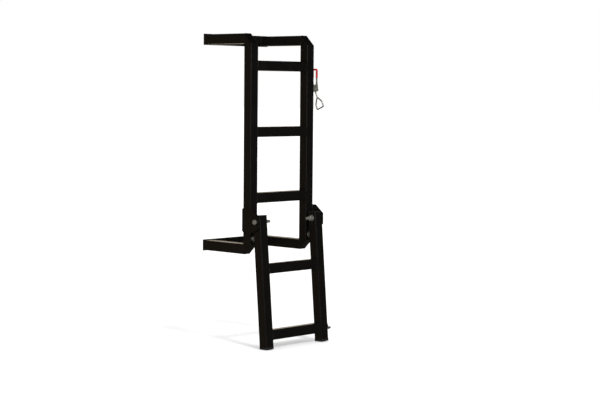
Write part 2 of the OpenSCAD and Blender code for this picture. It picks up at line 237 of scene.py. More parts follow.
def lathe(profile: Sequence[Point2], steps: int = 48) -> Shell:
    """Spins an open profile round +Z.

    Args:
        profile: Radius and height of each point, from one end of the outline to the other.
        steps: Divisions of the full turn.

    Returns:
        The closed solid.
    """
    bm = bmesh.new()
    verts = [bm.verts.new((radius, 0, height)) for radius, height in profile]
    edges = [bm.edges.new(pair) for pair in zip(verts, verts[1:])]
    turn = {"axis": (0, 0, 1), "cent": (0, 0, 0), "angle": math.tau, "use_merge": True}
    bmesh.ops.spin(bm, geom=verts + edges, steps=steps, **turn)
    bmesh.ops.remove_doubles(bm, verts=bm.verts, dist=1e-4)
    bmesh.ops.recalc_face_normals(bm, faces=bm.faces)
    return bm


def bevel_edges(bm: Shell, edges: Iterable[bmesh.types.BMEdge], width: float) -> None:
    """Rounds edges of a solid, with more facets the wider the rounding is.

    Args:
        bm: Solid to change.
        edges: Edges to round.
        width: Width of the rounding.
    """
    segments = 2 + sum(width > limit for limit in (0.5, 1, 2))
    way = {"offset_type": "OFFSET", "profile": 0.5, "affect": "EDGES", "clamp_overlap": True}
    bmesh.ops.bevel(bm, geom=list(edges), offset=width, segments=segments, material=-1, **way)


def plate(outline: Sequence[Point2], thickness: float, edge: float = 0.0) -> Shell:
    """Extrudes an outline drawn in X and Y along +Z and rounds its rims.

    Args:
        outline: Corners of the outline, in order.
        thickness: Height of the extrusion.
        edge: Rounding of both rims.

    Returns:
        The closed plate, from z = 0 up.
    """
    bm = bmesh.new()
    floor = bm.faces.new([bm.verts.new((x, y, 0)) for x, y in outline])
    top = bmesh.ops.extrude_face_region(bm, geom=[floor])["geom"]
    raised = [v for v in top if isinstance(v, bmesh.types.BMVert)]
    bmesh.ops.translate(bm, verts=raised, vec=(0, 0, thickness))
    bmesh.ops.recalc_face_normals(bm, faces=bm.faces)
    if edge:
        rims = [e for e in bm.edges if abs(e.verts[0].co.z - e.verts[1].co.z) < 1e-6]
        bevel_edges(bm, rims, edge)
    return bm


def block(low: Point3, high: Point3, edge: float) -> Shell:
    """Makes a rounded block between two corners.

    Args:
        low: Lowest corner.
        high: Highest corner.
        edge: Rounding of every edge.

    Returns:
        The block.
    """
    bm = bmesh.new()
    size, middle = Vector(high) - Vector(low), (Vector(high) + Vector(low)) / 2
    bmesh.ops.create_cube(bm, size=1, matrix=at(*middle) @ Matrix.Diagonal((*size, 1)))
    bevel_edges(bm, bm.edges, edge)
    return bm


def hexagon(flats: float, height: float, bore: float = 0.0, both: bool = False) -> Shell:
    """Makes a hexagon with the round chamfer of a bolt head or nut.

    Args:
        flats: Width across the flats.
        height: Height of the hexagon, from z = 0 up.
        bore: Radius of the hole, or 0 for a solid head.
        both: Whether the lower face is chamfered as well.

    Returns:
        The hexagon, its chamfer on the upper face.
    """
    face, slope = flats / 2 - HEX_CHAMFER, math.tan(math.radians(30))
    corner = flats / 2 / math.cos(math.pi / 6)
    fall = (corner - face) * slope
    levels = [fall * k / 4 for k in range(5)]
    heights = levels if both else [0.0]
    heights = heights + [height - level for level in reversed(levels)]
    profile = [(bore, heights[0])] + [(corner, z) for z in heights] + [(bore, heights[-1])]
    if bore:
        profile.append((bore, heights[0]))
    bm = lathe(profile, steps=96)
    for vert in bm.verts:
        radius = math.hypot(vert.co.x, vert.co.y)
        if radius < corner - 1e-3:
            continue
        turn = math.atan2(vert.co.y, vert.co.x) % (math.pi / 3) - math.pi / 6
        flat = flats / 2 / math.cos(turn)
        drop = min(height - vert.co.z, vert.co.z if both else height)
        limit = min(flat, face + drop / slope) / radius
        vert.co.x *= limit
        vert.co.y *= limit
    return bm


def bored_ring(outer: float, inner: float, height: float, edge: float = 0.3) -> Shell:
    """Makes a washer with broken edges.

    Args:
        outer: Outside radius.
        inner: Bore radius.
        height: Thickness, from z = 0 up.
        edge: Break of the outer edges.

    Returns:
        The washer.
    """
    rim = [(outer - edge, 0), (outer, edge), (outer, height - edge), (outer - edge, height)]
    return lathe([(inner, 0), *rim, (inner, height), (inner, 0)], steps=64)


def threaded(radius: float, plain: float, length: float, pitch: float) -> Shell:
    """Makes a bolt shank: plain from z = 0, then threaded to its chamfered end.

    Args:
        radius: Nominal radius.
        plain: Length of the plain part.
        length: Whole length.
        pitch: Thread pitch.

    Returns:
        The shank, drawn with rings instead of a helix.
    """
    root = radius - 0.61 * pitch
    profile: list[Point2] = [(0, 0), (radius, 0), (radius, plain)]
    z = plain
    while z + pitch < length - 0.6 * pitch:
        turn = ((root, 0.44), (root, 0.56), (radius, 0.94), (radius, 1.06))
        profile += [(r, z + share * pitch) for r, share in turn]
        z += pitch
    profile += [(root, length - 0.5 * pitch), (root, length), (0, length)]
    return lathe(profile, steps=40)


def rivet_head(radius: float, height: float) -> Shell:
    """Makes a rivet's domed head, with a dimple where the mandrel broke off.

    Args:
        radius: Radius of the head.
        height: Height of the dome.

    Returns:
        The head, its flat side on z = 0.
    """
    rise = [(math.cos(a), math.sin(a)) for a in (math.radians(9 * k) for k in range(10))]
    dome = [(radius * c, 0.15 * height + 0.85 * height * s) for c, s in rise if c > 0.3]
    dimple = [(0.26 * radius, 0.98 * height), (0.22 * radius, 0.7 * height), (0, 0.66 * height)]
    return lathe([(0, 0), (radius, 0)] + dome + dimple, steps=32)


def rounded_path(
    points: Sequence[Vector], radius: float, cyclic: bool = False, facets: int = 8
) -> list[Vector]:
    """Rounds the corners of a polyline.

    Args:
        points: Corners of the path.
        radius: Radius of each corner.
        cyclic: Whether the last point joins the first.
        facets: Straight pieces in each corner.

    Returns:
        The points of the rounded path.
    """
    path: list[Vector] = []
    count = len(points)
    for i, here in enumerate(points):
        back = (points[i - 1] - here).normalized()
        ahead = (points[(i + 1) % count] - here).normalized()
        half = back.angle(ahead) / 2
        if (not cyclic and i in (0, count - 1)) or half > math.pi / 2 - 1e-3:
            path.append(here.copy())
            continue
        reach = radius / math.tan(half)
        middle = here + (back + ahead).normalized() * (radius / math.sin(half))
        first = here + back * reach - middle
        last = here + ahead * reach - middle
        turns = (first.slerp(last, k / facets) for k in range(facets + 1))
        path += [middle + radius * turn.normalized() for turn in turns]
    return path


def subdivided(path: Sequence[Vector], step: float) -> list[Vector]:
    """Adds evenly spaced points to a path.

    Args:
        path: Points of the path.
        step: Distance that two points should have.

    Returns:
        The denser path, its last point included.
    """
    points: list[Vector] = []
    for start, end in zip(path, path[1:]):
        pieces = max(1, round((end - start).length / step))
        points += [start.lerp(end, k / pieces) for k in range(pieces)]
    return points + [path[-1].copy()]


def around(low: Point2, high: Point2) -> list[Point2]:
    """Returns a rectangle's corners, in order round it."""
    return [low, (high[0], low[1]), high, (low[0], high[1])]


def arc(middle: Point2, radius: float, start: float, end: float, count: int) -> list[Point2]:
    """Returns points on an arc between two angles in degrees."""
    turns = (math.radians(start + (end - start) * k / count) for k in range(count + 1))
    return [(middle[0] + radius * math.cos(a), middle[1] + radius * math.sin(a)) for a in turns]


def tube_along(
    points: Sequence[Vector],
    radius: float | Callable[[float], float],
    cyclic: bool = False,
    sides: int = 16,
) -> Shell:
    """Runs a round section along a path.

    Args:
        points: Points of the path.
        radius: Radius, or a function of the distance along the path.
        cyclic: Whether the path closes.
        sides: Facets round the section, a multiple of four.

    Returns:
        The closed tube.
    """
    curve = bpy.data.curves.new("path", "CURVE")
    curve.dimensions = "3D"
    curve.bevel_depth = 1.0
    curve.bevel_resolution = sides // 4 - 1
    curve.use_fill_caps = True
    spline = curve.splines.new("POLY")
    spline.points.add(len(points) - 1)
    spline.use_cyclic_u = cyclic
    run = 0.0
    for i, point in enumerate(points):
        run += (point - points[i - 1]).length if i else 0.0
        spline.points[i].co = (*point, 1)
        spline.points[i].radius = radius(run) if callable(radius) else radius
    holder = bpy.data.objects.new("path", curve)
    mesh = holder.to_mesh()
    bm = bmesh.new()
    bm.from_mesh(mesh)
    holder.to_mesh_clear()
    bpy.data.objects.remove(holder)
    bpy.data.curves.remove(curve)
    bmesh.ops.remove_doubles(bm, verts=bm.verts, dist=1e-4)
    bmesh.ops.recalc_face_normals(bm, faces=bm.faces)
    return bm


def loft(stations: Sequence[Matrix], sides: int = 24) -> Shell:
    """Extrudes a unit circle from one station to the next.

    Args:
        stations: A matrix for each station, which places and scales the circle of radius 1.
        sides: Divisions of the circle.

    Returns:
        The closed skin.
    """
    bm = bmesh.new()
    ring = bmesh.ops.create_circle(bm, cap_ends=False, radius=1, segments=sides)["verts"]
    edges = list(bm.edges)
    bmesh.ops.transform(bm, matrix=stations[0], verts=ring)
    for before, after in zip(stations, stations[1:]):
        grown = bmesh.ops.extrude_edge_only(bm, edges=edges)["geom"]
        ring = [g for g in grown if isinstance(g, bmesh.types.BMVert)]
        own = set(ring)
        edges = [e for v in ring for e in v.link_edges if e.verts[0] in own and e.verts[1] in own]
        edges = list(dict.fromkeys(edges))
        bmesh.ops.transform(bm, matrix=after @ before.inverted(), verts=ring)
    bmesh.ops.holes_fill(bm, edges=[e for e in bm.edges if e.is_boundary], sides=sides)
    bmesh.ops.recalc_face_normals(bm, faces=bm.faces)
    return bm


def join(parts: Iterable[Placed]) -> Shell:
    """Places shells and gathers them in one mesh.

    Args:
        parts: Each shell with the matrix that places it.

    Returns:
        One bmesh with every shell; the shells given are freed.
    """
    whole = bmesh.new()
    for shell, matrix in parts:
        bmesh.ops.transform(shell, matrix=matrix, verts=shell.verts)
        if matrix.determinant() < 0:
            bmesh.ops.reverse_faces(shell, faces=shell.faces)
        mesh = bpy.data.meshes.new("shell")
        shell.to_mesh(mesh)
        shell.free()
        whole.from_mesh(mesh)
        bpy.data.meshes.remove(mesh)
    return whole


def at(x: float, y: float, z: float) -> Matrix:
    """Returns the matrix that moves a shape to a point."""
    return Matrix.Translation((x, y, z))


def mirrored(side: Side) -> Matrix:
    """Returns the matrix that puts a right-hand shape on the given side."""
    return Matrix.Diagonal((side.value, 1, 1, 1))


def publish(
    name: str, parts: Iterable[Placed], body: Body, finish: Finish, *replaced: str,
    crease: float = 35.0,
) -> None:
    """Makes a finished piece, at the origin, from shells in millimetres.

    Args:
        name: Name of the piece.
        parts: Each shell, freed here, with the matrix that places it.
        body: Body that the piece moves with.
        finish: Surface finish.
        replaced: CAD nodes that the piece stands for.
        crease: Angle in degrees above which an edge stays sharp.
    """
    bm = join(parts)
    bmesh.ops.transform(bm, matrix=Matrix.Scale(MM, 4), verts=bm.verts)
    mesh = bpy.data.meshes.new(name)
    bm.to_mesh(mesh)
    bm.free()
    mesh.shade_smooth()
    mesh.set_sharp_from_angle(angle=math.radians(crease))
    mesh.materials.append(finish.material())
    piece = bpy.data.objects.new(name, mesh)
    bpy.context.scene.collection.objects.link(piece)
    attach(piece, body.value)
    if replaced:
        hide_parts(*replaced)
    log.info("%s: %d faces, on %s", name, len(mesh.polygons), body.value)


# -------- sizes that the pieces share


@dataclass(frozen=True)
class Sizes:
    """The ladder's main sizes in millimetres, as in the CAD model."""

    tube: float = 40.0
    upright_x: float = 160.0
    bottom: float = -20.0
    top: float = 851.0
    front: float = -273.0
    rest_bar: float = 6.0
    rest_bar_height: float = 45.0
    upper_rungs: tuple[float, ...] = (725.0, 464.0, 203.0)
    lower_rungs: tuple[float, ...] = (-186.0, -447.0)
    leg_x: float = 158.75
    leg_above: float = 26.0
    leg_below: float = 502.0
    tilt: float = 4.8
    pivot_y: float = -307.0
    pivot_z: float = 112.0

    @property
    def half(self) -> float:
        """Half the tube's width."""
        return self.tube / 2

    @property
    def back(self) -> float:
        """The uprights' rear faces."""
        return self.front + self.tube

    @property
    def face_x(self) -> float:
        """The uprights' outer side faces."""
        return self.upright_x + self.half

    @property
    def leg_frame(self) -> Matrix:
        """Frame of the lower section: origin on the pivot, the legs hang down its -Z."""
        lean = Matrix.Rotation(math.radians(-self.tilt), 4, "X")
        return at(0, self.pivot_y, self.pivot_z) @ lean


SIZES = Sizes()


# -------- welds


@dataclass
class WeldShop:
    """Lays fillet and butt welds whose ripples show through the powder coat."""

    fillet: float = 2.3
    butt: float = 2.2
    sunk: float = 1.35
    ripple: float = 2.6
    ripple_depth: float = 0.12
    step: float = 0.75

    def bead(self, corners: Sequence[Vector], radius: float, cyclic: bool) -> Shell:
        """Makes one bead.

        Args:
            corners: Corners of the bead's path.
            radius: Mean radius of the bead.
            cyclic: Whether the bead closes on itself.

        Returns:
            The bead's skin.
        """
        path = rounded_path(corners, 2.5, cyclic, facets=3) if len(corners) > 2 else list(corners)
        points = subdivided(path + path[:1] if cyclic else path, self.step)
        if cyclic:
            points.pop()
        length = sum((b - a).length for a, b in zip(points, points[1:]))

        def swell(run: float) -> float:
            """Returns the bead's radius at a distance along it."""
            wave = 1 - self.ripple_depth * abs(math.sin(math.pi * run / self.ripple))
            slow = 1 + 0.05 * math.sin(run / 7.3) + 0.04 * math.sin(run / 3.1 + 1)
            ends = 1.0 if cyclic else min(1.0, 0.35 + min(run, length - run) / (2 * radius))
            return radius * wave * slow * ends

        return tube_along(points, swell, cyclic, sides=8)

    def round_tube(self, x: float, y: float, z: float, half: float) -> Shell:
        """Welds a tube's end all round where it meets a face across X, flush front and back.

        Args:
            x: Plane of the joint.
            y: Middle of the tube across the ladder's depth.
            z: Middle of the tube's height.
            half: Half the tube's width.

        Returns:
            The closed bead.
        """
        deep = half - self.sunk
        ring = around((y - deep, z - half), (y + deep, z + half))
        return self.bead([Vector((x, *point)) for point in ring], self.fillet, True)

    def butt_ring(self, corners: Sequence[Point3]) -> Shell:
        """Welds two flush tube ends together along a closed path of corners."""
        return self.bead([Vector(c) for c in corners], self.butt, True)


# -------- upper section


@dataclass
class UpperFrame:
    """The wall-side section: corner boxes, rest bars, rungs, hinge plates and their welds."""

    sizes: Sizes = SIZES
    welds: WeldShop = field(default_factory=WeldShop)
    fold: float = 2.4
    plate_thick: float = 6.0
    plate_bottom: float = 69.0
    plate_top: float = 164.0

    def build(self) -> None:
        """Makes every piece of the upper section that Blender adds."""
        for side in Side:
            self.hinge_plate(side)
            for up in (True, False):
                self.corner_box(side, up)
        self.rest_bar("upper", self.sizes.top - self.sizes.half)
        self.rest_bar("lower", 0.0)
        self.rung_welds()
        self.corner_welds()
        self.arm_welds()
        self.hinge_welds()

    def corner_box(self, side: Side, up: bool) -> None:
        """Folds the diagonal corner between an upright and an arm.

        Args:
            side: Side of the ladder.
            up: Whether it is the upper corner.
        """
        s = self.sizes
        bm = plate([(s.front, 0), (s.back, 0), (s.back, s.tube)], s.tube)
        runs = [(edge, edge.verts[0].co - edge.verts[1].co) for edge in bm.edges]
        slant = [edge for edge, run in runs if abs(run.z) < 1e-6 < 1 < min(abs(run.x), abs(run.y))]
        bevel_edges(bm, slant, self.fold)
        level = s.top - s.tube if up else s.bottom + s.tube
        flip = Matrix.Diagonal((1, 1, 1 if up else -1, 1))
        place = at(side.value * s.upright_x - s.half, 0, level) @ flip @ SIDE_ON
        node = f"{'top' if up else 'bottom'}_{side}_corner"
        publish(f"{node}_fold", [(bm, place)], Body.UPPER, POWDER_COAT, node)

    def rest_bar(self, place: str, level: float) -> None:
        """Makes the flat bar across a pair of arms.

        Args:
            place: "upper" or "lower".
            level: Height of its middle.
        """
        s = self.sizes
        tall = s.rest_bar_height / 2
        bm = block((-s.face_x, -s.rest_bar, level - tall), (s.face_x, 0, level + tall), 0.9)
        node = f"{place}_rest_bar"
        publish(f"{node}_flat", [(bm, HERE)], Body.UPPER, POWDER_COAT, node)

    def hinge_plate(self, side: Side) -> None:
        """Makes the side plate that carries a pivot bolt."""
        s = self.sizes
        nose = s.pivot_y - s.half
        low, high, nip = self.plate_bottom, self.plate_top, 5.0
        outline = [(s.back - nip, low), (s.back, low + nip), (s.back, high - nip)]
        outline += [(s.back - nip, high), (nose + 41, high), (nose, high - 33)]
        outline += [(nose, low + 18), (nose + 31, low)]
        bm = plate(outline, self.plate_thick, 0.8)
        place = mirrored(side) @ at(s.face_x, 0, 0) @ SIDE_ON
        node = f"{side}_hinge_plate"
        publish(f"{node}_cut", [(bm, place)], Body.UPPER, POWDER_COAT, node)

    def publish_welds(self, where: str, beads: Iterable[Placed]) -> None:
        """Makes one piece of the beads at one place, painted with the frame."""
        publish(f"{where}_welds", beads, Body.UPPER, POWDER_COAT, crease=WELD_CREASE)

    def rung_welds(self) -> None:
        """Welds the three upper rungs between the uprights."""
        s = self.sizes
        inner = s.upright_x - s.half
        for name, level in zip(("top", "second", "third"), s.upper_rungs):
            ends = [
                (self.welds.round_tube(side.value * inner, s.front + s.half, level, s.half), HERE)
                for side in Side
            ]
            self.publish_welds(f"{name}_rung", ends)

    def corner_welds(self) -> None:
        """Welds the corner boxes to the uprights and to the arms."""
        s, sunk = self.sizes, self.welds.sunk
        near, far = s.front + sunk, s.back - 0.4
        for side in Side:
            left = side.value * s.upright_x - s.half + sunk
            right = side.value * s.upright_x + s.half - sunk
            rings = []
            for level, out in ((s.top - s.tube, 1), (s.bottom + s.tube, -1)):
                flat = around((left, near), (right, far))
                tall = around((left, level + 0.4 * out), (right, level + (s.tube - sunk) * out))
                rings.append([(x, y, level) for x, y in flat])
                rings.append([(x, s.back, z) for x, z in tall])
            beads = [(self.welds.butt_ring(ring), HERE) for ring in rings]
            self.publish_welds(f"{side}_corner", beads)

    def arm_welds(self) -> None:
        """Welds the rest bars across the ends of the arms."""
        s, sunk = self.sizes, self.welds.sunk
        y = -s.rest_bar - 0.7
        beads = []
        for side in Side:
            inner = side.value * (s.upright_x - s.half)
            outer = side.value * (s.face_x - sunk)
            for level in (s.top - s.half, 0.0):
                ring = around((inner, level - s.half), (outer, level + s.half))
                beads.append((self.welds.butt_ring([(x, y, z) for x, z in ring]), HERE))
        self.publish_welds("rest_bar", beads)

    def hinge_welds(self) -> None:
        """Welds the hinge plates to the uprights along their top, bottom and front."""
        s = self.sizes
        x, near, far = s.face_x, s.front + 1.5, s.back - 6
        lines = [
            [(x, near, self.plate_top), (x, far, self.plate_top)],
            [(x, near, self.plate_bottom), (x, far, self.plate_bottom)],
            [(x, s.front, self.plate_bottom + 3), (x, s.front, self.plate_top - 3)],
        ]
        for side in Side:
            hand = mirrored(side)
            beads = [
                (self.welds.bead([Vector(end) for end in line], self.welds.fillet, False), hand)
                for line in lines
            ]
            self.publish_welds(f"{side}_hinge_plate", beads)


# -------- bolts


@dataclass
class Hardware:
    """Pivot bolts and stop bolts with their nuts and washers."""

    sizes: Sizes = SIZES
    radius: float = 6.0
    flats: float = 18.0
    head: float = 7.5
    pitch: float = 1.75
    pivot_length: float = 80.0
    pivot_plain: float = 52.0
    plate_thick: float = 6.0
    thrust: float = 1.0
    play: float = 0.25
    washer: float = 2.5
    lock_nut: float = 14.0
    thin_nut: float = 7.0
    stop_z: float = 42.0
    stop_reach: float = 18.64
    stop_inside: float = 16.0

    def build(self) -> None:
        """Makes every bolt, nut and washer."""
        for side in Side:
            self.pivot_bolt(side)
        self.pivot_rings()
        self.pivot_nuts()
        self.stops()

    def both(self, name: str, node: str, shell: Shell, place: Matrix) -> None:
        """Makes a fastener on the right side and its mirror image on the left, as one piece.

        Args:
            name: Name of the piece.
            node: CAD node that it stands for.
            shell: One fastener along +Z, freed here.
            place: Matrix that puts it on the right side.
        """
        pair = [(shell.copy(), mirrored(side) @ place) for side in Side]
        shell.free()
        publish(name, pair, Body.UPPER, ZINC_PLATE, node)

    def bolt_head(self) -> Shell:
        """Makes a hexagon head with its washer face, from z = 0 up."""
        radius = self.flats / 2 - 0.4
        face = lathe([(0, 0), (radius, 0), (radius, 0.5), (0, 0.5)])
        hexed = hexagon(self.flats, self.head - 0.4)
        return join([(face, HERE), (hexed, at(0, 0, 0.4))])

    def pivot_bolt(self, side: Side) -> None:
        """Makes the bolt that carries one leg."""
        s = self.sizes
        shank = threaded(self.radius, self.pivot_plain, self.pivot_length, self.pitch)
        place = at(s.face_x + self.plate_thick, s.pivot_y, s.pivot_z) @ ALONG_X
        place = mirrored(side) @ place
        node = f"{side}_pivot_bolt"
        parts = [(self.bolt_head(), place), (shank, place @ OVER)]
        publish(f"{node}_hex", parts, Body.UPPER, ZINC_PLATE, node)

    def pivot_rings(self) -> None:
        """Makes the washers on both sides of each leg."""
        s = self.sizes
        thrust_x = s.face_x - self.thrust
        inner_x = s.leg_x - s.half - self.play - self.washer
        for name, node, x, outer, thick in (
            ("pivot_thrust_rings", "pivot_thrust_washers", thrust_x, 15.0, self.thrust),
            ("pivot_flat_washers", "pivot_nut_washers", inner_x, 12.0, self.washer),
        ):
            ring = bored_ring(outer, self.radius + 0.25, thick, 0.25)
            self.both(name, node, ring, at(x, s.pivot_y, s.pivot_z) @ ALONG_X)

    def pivot_nuts(self) -> None:
        """Makes the lock nuts, each with a collar crimped round the bolt."""
        s = self.sizes
        x = s.leg_x - s.half - self.play - self.washer - self.lock_nut
        collar, base, bore, wide = 3.4, 3.0, self.radius + 0.05, self.flats / 2 - 0.5
        profile = [(bore, 0.0), (wide - 2.2, 0.0), (wide - 0.9, 0.5), (wide - 0.2, 1.6)]
        profile += [(wide, collar), (bore, collar), (bore, 0.0)]
        hexed = hexagon(self.flats, self.lock_nut - base, bore, both=True)
        nut = join([(lathe(profile), HERE), (hexed, at(0, 0, base))])
        place = at(x, s.pivot_y, s.pivot_z) @ ALONG_X
        self.both("pivot_collar_nuts", "pivot_lock_nuts", nut, place)

    def stops(self) -> None:
        """Makes the adjustable stop bolts with their lock nuts and washers."""
        s, top = self.sizes, at(0, 0, self.head)
        long = self.stop_reach + self.stop_inside - self.head
        shank = threaded(self.radius, 0.4, long, self.pitch)
        bolt = join([(self.bolt_head(), top @ OVER), (shank, top)])
        nut = hexagon(self.flats, self.thin_nut, self.radius + 0.05, both=True)
        ring = bored_ring(12.0, self.radius + 0.25, self.washer)
        for name, node, shell, ahead in (
            ("stop_hex_bolts", "stop_bolts", bolt, self.stop_reach),
            ("stop_thin_nuts", "stop_lock_nuts", nut, self.washer + self.thin_nut),
            ("stop_flat_washers", "stop_washers", ring, self.washer),
        ):
            place = at(s.upright_x, s.front - ahead, self.stop_z) @ ALONG_Y
            self.both(name, node, shell, place)


# -------- latch


@dataclass
class Latch:
    """Toggle latch on the right upright: base, lever, grip, swivel barrel and draw link."""

    sizes: Sizes = SIZES
    y: float = -251.5
    x: float = 208.0
    z: float = 632.0
    sheet: float = 2.0
    lever_width: float = 25.0
    strip: float = 3.0
    lever_length: float = 84.0
    grip_length: float = 35.5
    crank: float = 12.0
    wire: float = 2.75
    lean: float = 23.0
    shank: float = 40.5
    ring_length: float = 44.5
    ring_width: float = 38.0
    lobe: float = 7.0
    taper: float = 34.0
    arm_half: float = 3.5
    rivet: float = 3.0

    @property
    def base_half(self) -> float:
        """Half the base's width over its ears."""
        return self.lever_width / 2 + 0.5 + self.sheet

    def ring_bar(self, beside: float) -> Vector:
        """Returns where the ring's cross wire lies once it is hooked on the catch.

        Args:
            beside: The cross wire's X then, in millimetres.

        Returns:
            The point of the wire that the catch's middle holds.
        """
        lean, along = math.radians(self.lean), 4.5
        length = self.shank + self.ring_length
        reach = 8.0 + length * math.cos(lean) - along * math.sin(lean)
        swing = math.asin((self.x - beside) / reach)
        low = self.z + self.crank - reach * math.cos(swing)
        return Vector((beside, self.y - length * math.sin(lean) - along * math.cos(lean), low))

    @property
    def pivot(self) -> Matrix:
        """Frame of the lever: origin on its pivot."""
        return at(self.x, self.y, self.z)

    def build(self) -> None:
        """Makes every piece of the latch."""
        self.base()
        self.base_rivets()
        self.pivot_rivets()
        self.lever()
        self.grip()
        self.barrel()
        self.link()

    def base(self) -> None:
        """Presses the U-shaped base from sheet: a rounded flange with two ears."""
        s = self.sizes
        off = self.x - s.face_x
        half, low, high, r = self.base_half, -20.0, 46.0, 5.0
        centres = around((-half + r, low + r), (half - r, high - r))
        # Each corner's arc starts a quarter turn after the one before
        starts = zip(centres, (180, 270, 0, 90))
        corners = [point for c, start in starts for point in arc(c, r, start, start + 90, 6)]
        flange = plate(corners, self.sheet, 0.35)
        top, foot = (self.sheet, 24.0), (self.sheet, -10.0)

        def touch(end: Point2, turn: int) -> float:
            """Returns the angle on the lobe, in degrees, where a line from a point touches it."""
            aside, up = end[0] - off, end[1]
            half_turn = math.acos(self.lobe / math.hypot(aside, up))
            return math.degrees(math.atan2(up, aside) + turn * half_turn)

        ear_outline = [(0.2, foot[1] - 1), foot]
        ear_outline += arc((off, 0), self.lobe, touch(foot, 1), touch(top, -1), 20)
        ear_outline += [top, (0.2, top[1] + 1)]
        middle = at(s.face_x, self.y, self.z)
        parts = [(flange, middle @ SIDE_ON)]
        for y in (-half, half - self.sheet):
            parts.append((plate(ear_outline, self.sheet, 0.35), middle @ at(0, y, 0) @ FACE_ON))
        publish("latch_base_pressed", parts, Body.UPPER, ZINC_PLATE, "latch_base")

    def base_rivets(self) -> None:
        """Rivets the base to the upright."""
        s = self.sizes
        heads = [
            (rivet_head(4.8, 2.1), at(s.face_x + self.sheet, self.y, self.z + up) @ ALONG_X)
            for up in (-14.0, 38.0)
        ]
        publish("base_rivet_heads", heads, Body.UPPER, ZINC_PLATE, "latch_base_rivets")

    def pivot_rivets(self) -> None:
        """Makes the two stub rivets that the lever turns on."""
        stub, r, chamfer = self.sheet + 0.5 + self.strip, self.rivet, 0.3
        parts = []
        for turn in (0.0, math.pi):
            place = self.pivot @ Matrix.Rotation(turn, 4, "Z")
            place = place @ at(0, -self.base_half, 0) @ ALONG_Y
            end = [(r, stub - chamfer), (r - chamfer, stub), (0, stub)]
            parts.append((lathe([(0, 0), (r, 0), *end]), place))
            parts.append((rivet_head(5.0, 2.0), place @ OVER))
        publish("lever_stub_rivets", parts, Body.UPPER, ZINC_PLATE, "lever_pivot_rivets")

    def lever(self) -> None:
        """Makes the lever's two arms with their lobes, and the bend that joins them."""
        half, lobe, arm, crank = self.lever_width / 2, self.lobe, self.arm_half, self.crank
        side = [(lobe, crank), (lobe - 0.5, crank + 5), (arm + 1.3, 24), (arm, self.taper)]
        side.append((arm, self.lever_length - 6))
        outline = arc((0, 0), lobe, 180, 360, 16) + side + [(-x, z) for x, z in reversed(side)]
        parts = [
            (plate(outline, self.strip, 0.5), self.pivot @ at(0, y, 0) @ FACE_ON)
            for y in (-half, half - self.strip)
        ]
        corners = self.loop(self.lever_length - 12)
        bend = self.band(rounded_path(corners, 5.0), arm, self.strip / 2 - 0.05, 16)
        parts.append((bend, self.pivot))
        publish("latch_lever_strip", parts, Body.LEVER, ZINC_PLATE, "latch_lever")

    def loop(self, foot: float) -> list[Vector]:
        """Returns the corners of the lever's bend, up one arm and down the other.

        Args:
            foot: Height over the pivot at which the path starts and ends.
        """
        half, top = (self.lever_width - self.strip) / 2, self.lever_length - self.strip / 2
        path = ((-half, foot), (-half, top), (half, top), (half, foot))
        return [Vector((0, *point)) for point in path]

    def band(
        self, path: Sequence[Vector], wide: float, thick: float, sides: int,
        taper: Callable[[float], float] = lambda share: 1.0,
    ) -> Shell:
        """Runs a rounded band along a path in the plane x = 0.

        Args:
            path: Middle line of the band.
            wide: Half its width along X.
            thick: Half its thickness.
            sides: Facets round the section.
            taper: Scale of the section at a share of the length, from 0 to 1.

        Returns:
            The closed band.
        """
        stations = []
        last = len(path) - 1
        for i, point in enumerate(path):
            along = (path[min(i + 1, last)] - path[max(i - 1, 0)]).normalized()
            across = Vector((1, 0, 0))
            out = along.cross(across)
            scale = taper(i / last)
            basis = Matrix((across * wide * scale, out * thick * scale, along)).transposed()
            stations.append(at(*point) @ basis.to_4x4())
        return loft(stations, sides)

    def grip(self) -> None:
        """Dips the end of the lever in vinyl, with a drawn-in rim at each arm."""
        bends = rounded_path(self.loop(self.lever_length - self.grip_length), 4.5)

        def dip(share: float) -> float:
            """Returns the swelling of the dip: drawn in at both rims, fuller over the bend."""
            rim = min(share, 1 - share) * 70
            crown = 1 + 0.2 * max(0.0, 1 - abs(share - 0.5) * 6)
            return (0.9 + 0.1 * math.sqrt(min(rim, 1.0))) * crown

        path = subdivided(bends, 1.0)
        bm = self.band(path, self.arm_half + 1.75, self.strip / 2 + 1.85, 28, dip)
        publish("lever_vinyl_grip", [(bm, self.pivot)], Body.LEVER, DIPPED_VINYL, "lever_grip")

    def barrel(self) -> None:
        """Turns the swivel barrel with its two journals."""
        inner = self.lever_width / 2 - self.strip - 0.3
        out = self.lever_width / 2 - 0.05
        r, barrel = self.rivet, 5.5
        half = [(barrel, inner - 0.6), (barrel - 0.6, inner), (r, inner)]
        half += [(r, out - 0.3), (r - 0.3, out), (0, out)]
        turned = lathe([(radius, -height) for radius, height in reversed(half)] + half)
        parts = [(turned, self.pivot @ at(0, 0, self.crank) @ ALONG_Y)]
        publish("turned_swivel_barrel", parts, Body.LINK, ZINC_PLATE, "swivel_barrel")

